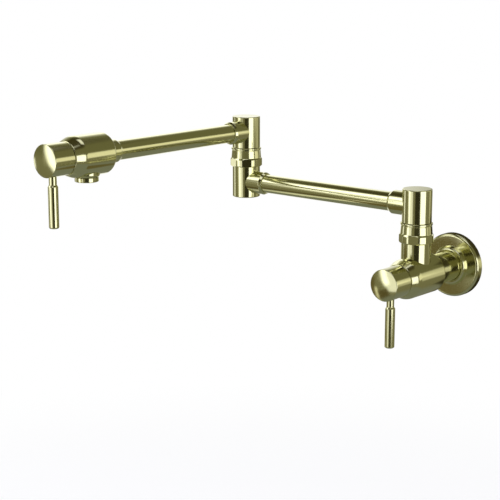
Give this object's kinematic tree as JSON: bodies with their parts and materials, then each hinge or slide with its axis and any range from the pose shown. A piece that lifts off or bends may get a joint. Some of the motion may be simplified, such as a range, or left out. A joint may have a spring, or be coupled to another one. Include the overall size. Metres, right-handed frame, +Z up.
{
  "type": "wall-mounted pot filler faucet",
  "caption": "Folding wall-mounted kitchen faucet in polished brass: swivel arms on a round wall flange, with a lever valve at the wall and another above the spout outlet.",
  "frame": {"origin": "centre of the water inlet on the wall face", "axes": "+X right along the wall, +Y into the wall, +Z up"},
  "size_m": [0.2686, 0.351, 0.2061],
  "materials": {
    "polished_brass": "polished pale brass",
    "bare_brass": "turned, unpolished",
    "black_rubber": "moulded seal rubber",
    "white_ceramic": "lapped alumina",
    "white_ptfe": "skived sheet",
    "grey_plastic": "moulded",
    "stainless_steel": "drawn"
  },
  "bodies": {
    "wall_body": {"wall_flange": "polished_brass", "flange_o_ring": "black_rubber", "inlet_neck": "polished_brass", "wall_valve_body": "polished_brass", "wall_outlet_stub": "polished_brass", "wall_union_nut": "polished_brass", "wall_glide_washer": "white_ptfe", "wall_cartridge_seal": "black_rubber", "wall_cartridge_body": "bare_brass", "wall_cartridge_nut": "bare_brass", "wall_fixed_disc": "white_ceramic"},
    "wall_handle": {"wall_handle_hub": "polished_brass", "wall_handle_lever": "polished_brass", "wall_handle_screw": "stainless_steel", "wall_spindle": "bare_brass", "wall_moving_disc": "white_ceramic", "wall_spindle_o_ring": "black_rubber"},
    "inner_arm": {"wall_swivel_head": "polished_brass", "wall_swivel_spigot": "bare_brass", "wall_retaining_ring": "bare_brass", "wall_swivel_o_rings": "black_rubber", "inner_arm_wall_socket": "polished_brass", "inner_arm_tube": "polished_brass", "inner_arm_elbow_socket": "polished_brass", "elbow_lower_post": "polished_brass", "elbow_union_nut": "polished_brass", "elbow_glide_washer": "white_ptfe"},
    "outer_arm": {"elbow_swivel_head": "polished_brass", "elbow_swivel_spigot": "bare_brass", "elbow_retaining_ring": "bare_brass", "elbow_swivel_o_rings": "black_rubber", "outer_arm_elbow_socket": "polished_brass", "outer_arm_tube": "polished_brass", "outer_arm_spout_collar": "polished_brass", "spout_valve_body": "polished_brass", "spout_outlet": "polished_brass", "aerator_housing": "polished_brass", "aerator_screen": "stainless_steel", "aerator_insert": "grey_plastic", "aerator_washer": "black_rubber", "spout_cartridge_seal": "black_rubber", "spout_cartridge_body": "bare_brass", "spout_cartridge_nut": "bare_brass", "spout_fixed_disc": "white_ceramic"},
    "spout_handle": {"spout_handle_hub": "polished_brass", "spout_handle_lever": "polished_brass", "spout_handle_screw": "stainless_steel", "spout_spindle": "bare_brass", "spout_moving_disc": "white_ceramic", "spout_spindle_o_ring": "black_rubber"}
  },
  "joints": [
    {"name": "wall_swivel", "type": "hinge", "parent": "wall_body", "child": "inner_arm", "pos_m": [0, -0.07045, 0.0701], "axis": [0, 0, 1], "range_deg": [0, 180]},
    {"name": "elbow_swivel", "type": "hinge", "parent": "inner_arm", "child": "outer_arm", "pos_m": [-0.2167, -0.07045, 0.1231], "axis": [0, 0, 1], "continuous": true},
    {"name": "wall_handle_turn", "type": "hinge", "parent": "wall_body", "child": "wall_handle", "pos_m": [0, -0.07045, 0], "axis": [0, -1, 0], "range_deg": [0, 90]},
    {"name": "spout_handle_turn", "type": "hinge", "parent": "outer_arm", "child": "spout_handle", "pos_m": [-0.2167, -0.29845, 0.1231], "axis": [0, -1, 0], "range_deg": [0, 90]}
  ]
}
